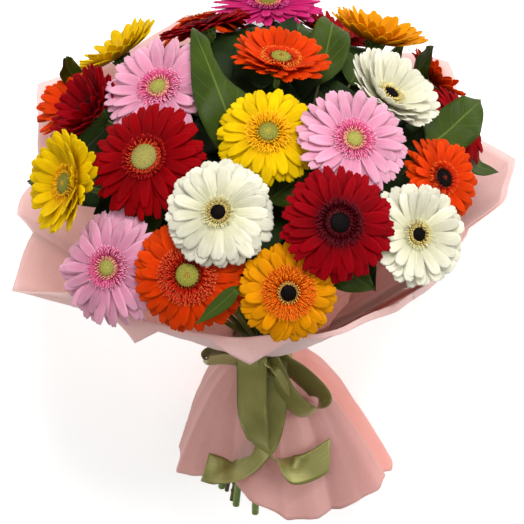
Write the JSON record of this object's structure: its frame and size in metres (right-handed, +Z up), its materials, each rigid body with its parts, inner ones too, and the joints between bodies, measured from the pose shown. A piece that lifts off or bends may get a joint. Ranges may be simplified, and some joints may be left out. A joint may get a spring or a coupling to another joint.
{
  "type": "gerbera bouquet",
  "caption": "Hand-tied bunch of mixed gerberas with broad leaves in a pink non-woven wrap, bound with an olive satin ribbon and bow, lying on its back.",
  "frame": {"origin": "on the surface the bunch lies on, under the middle of its box", "axes": "+Z up, away from the surface; the bunch lies with its heads towards +Y and its cut stems towards -Y; +X is its right-hand side as the picture shows it"},
  "size_m": [0.4673, 0.5229, 0.4059],
  "materials": {
    "petals_yellow": "matte, velvety, finely ribbed lengthwise",
    "petals_orange": "matte, velvety, finely ribbed lengthwise",
    "petals_dark_red": "matte, velvety, finely ribbed lengthwise",
    "petals_red": "matte, velvety, finely ribbed lengthwise",
    "petals_pink": "matte, velvety, finely ribbed lengthwise",
    "petals_white": "matte, velvety, finely ribbed lengthwise",
    "petals_magenta": "matte, velvety, finely ribbed lengthwise",
    "petals_amber": "matte, velvety, finely ribbed lengthwise",
    "disc_green": "matte, grainy with florets, green eye and a ring in the head's colour",
    "disc_dark": "matte, grainy with florets, near-black eye and a paler ring",
    "leaf": "glossy leaf green with paler veins",
    "stem": "satin green, finely hairy",
    "wrap": "matte pink non-woven sheet with short fibres, a little translucent",
    "ribbon": "olive satin with a soft lengthwise sheen"
  },
  "bodies": {
    "root": {"flower_stems_with_cups": "stem", "head_01_disc_florets": "disc_green", "head_01_yellow_petals": "petals_yellow", "head_02_disc_florets": "disc_green", "head_02_orange_petals": "petals_orange", "head_03_dark_red_petals": "petals_dark_red", "head_03_disc_florets": "disc_green", "head_04_disc_florets": "disc_green", "head_04_pink_petals": "petals_pink", "head_05_disc_florets": "disc_green", "head_05_red_petals": "petals_red", "head_06_disc_florets": "disc_green", "head_06_yellow_petals": "petals_yellow", "head_07_disc_florets": "disc_green", "head_07_pink_petals": "petals_pink", "head_08_disc_florets": "disc_green", "head_08_orange_petals": "petals_orange", "head_09_disc_florets": "disc_dark", "head_09_white_petals": "petals_white", "head_10_disc_florets": "disc_green", "head_10_yellow_petals": "petals_yellow", "head_11_disc_florets": "disc_green", "head_11_orange_petals": "petals_orange", "head_12_dark_red_petals": "petals_dark_red", "head_12_disc_florets": "disc_green", "head_13_disc_florets": "disc_green", "head_13_magenta_petals": "petals_magenta", "head_14_disc_florets": "disc_green", "head_14_red_petals": "petals_red", "head_15_amber_petals": "petals_amber", "head_15_disc_florets": "disc_green", "head_16_disc_florets": "disc_dark", "head_16_white_petals": "petals_white", "head_17_disc_florets": "disc_green", "head_17_pink_petals": "petals_pink", "head_18_dark_red_petals": "petals_dark_red", "head_18_disc_florets": "disc_dark", "head_19_disc_florets": "disc_dark", "head_19_orange_petals": "petals_orange", "head_20_disc_florets": "disc_dark", "head_20_white_petals": "petals_white", "head_21_disc_florets": "disc_green", "head_21_red_petals": "petals_red", "head_22_disc_florets": "disc_green", "head_22_orange_petals": "petals_orange", "head_23_amber_petals": "petals_amber", "head_23_disc_florets": "disc_dark", "head_24_disc_florets": "disc_green", "head_24_orange_petals": "petals_orange", "leafy_stem_1": "leaf", "leafy_stem_2": "leaf", "leafy_stem_3": "leaf", "leafy_stem_4": "leaf", "leafy_stem_5": "leaf", "leafy_stem_6": "leaf", "ribbon_band_and_bow": "ribbon", "wrap_inner_sheet": "wrap", "wrap_outer_sheet": "wrap"}
  },
  "joints": []
}
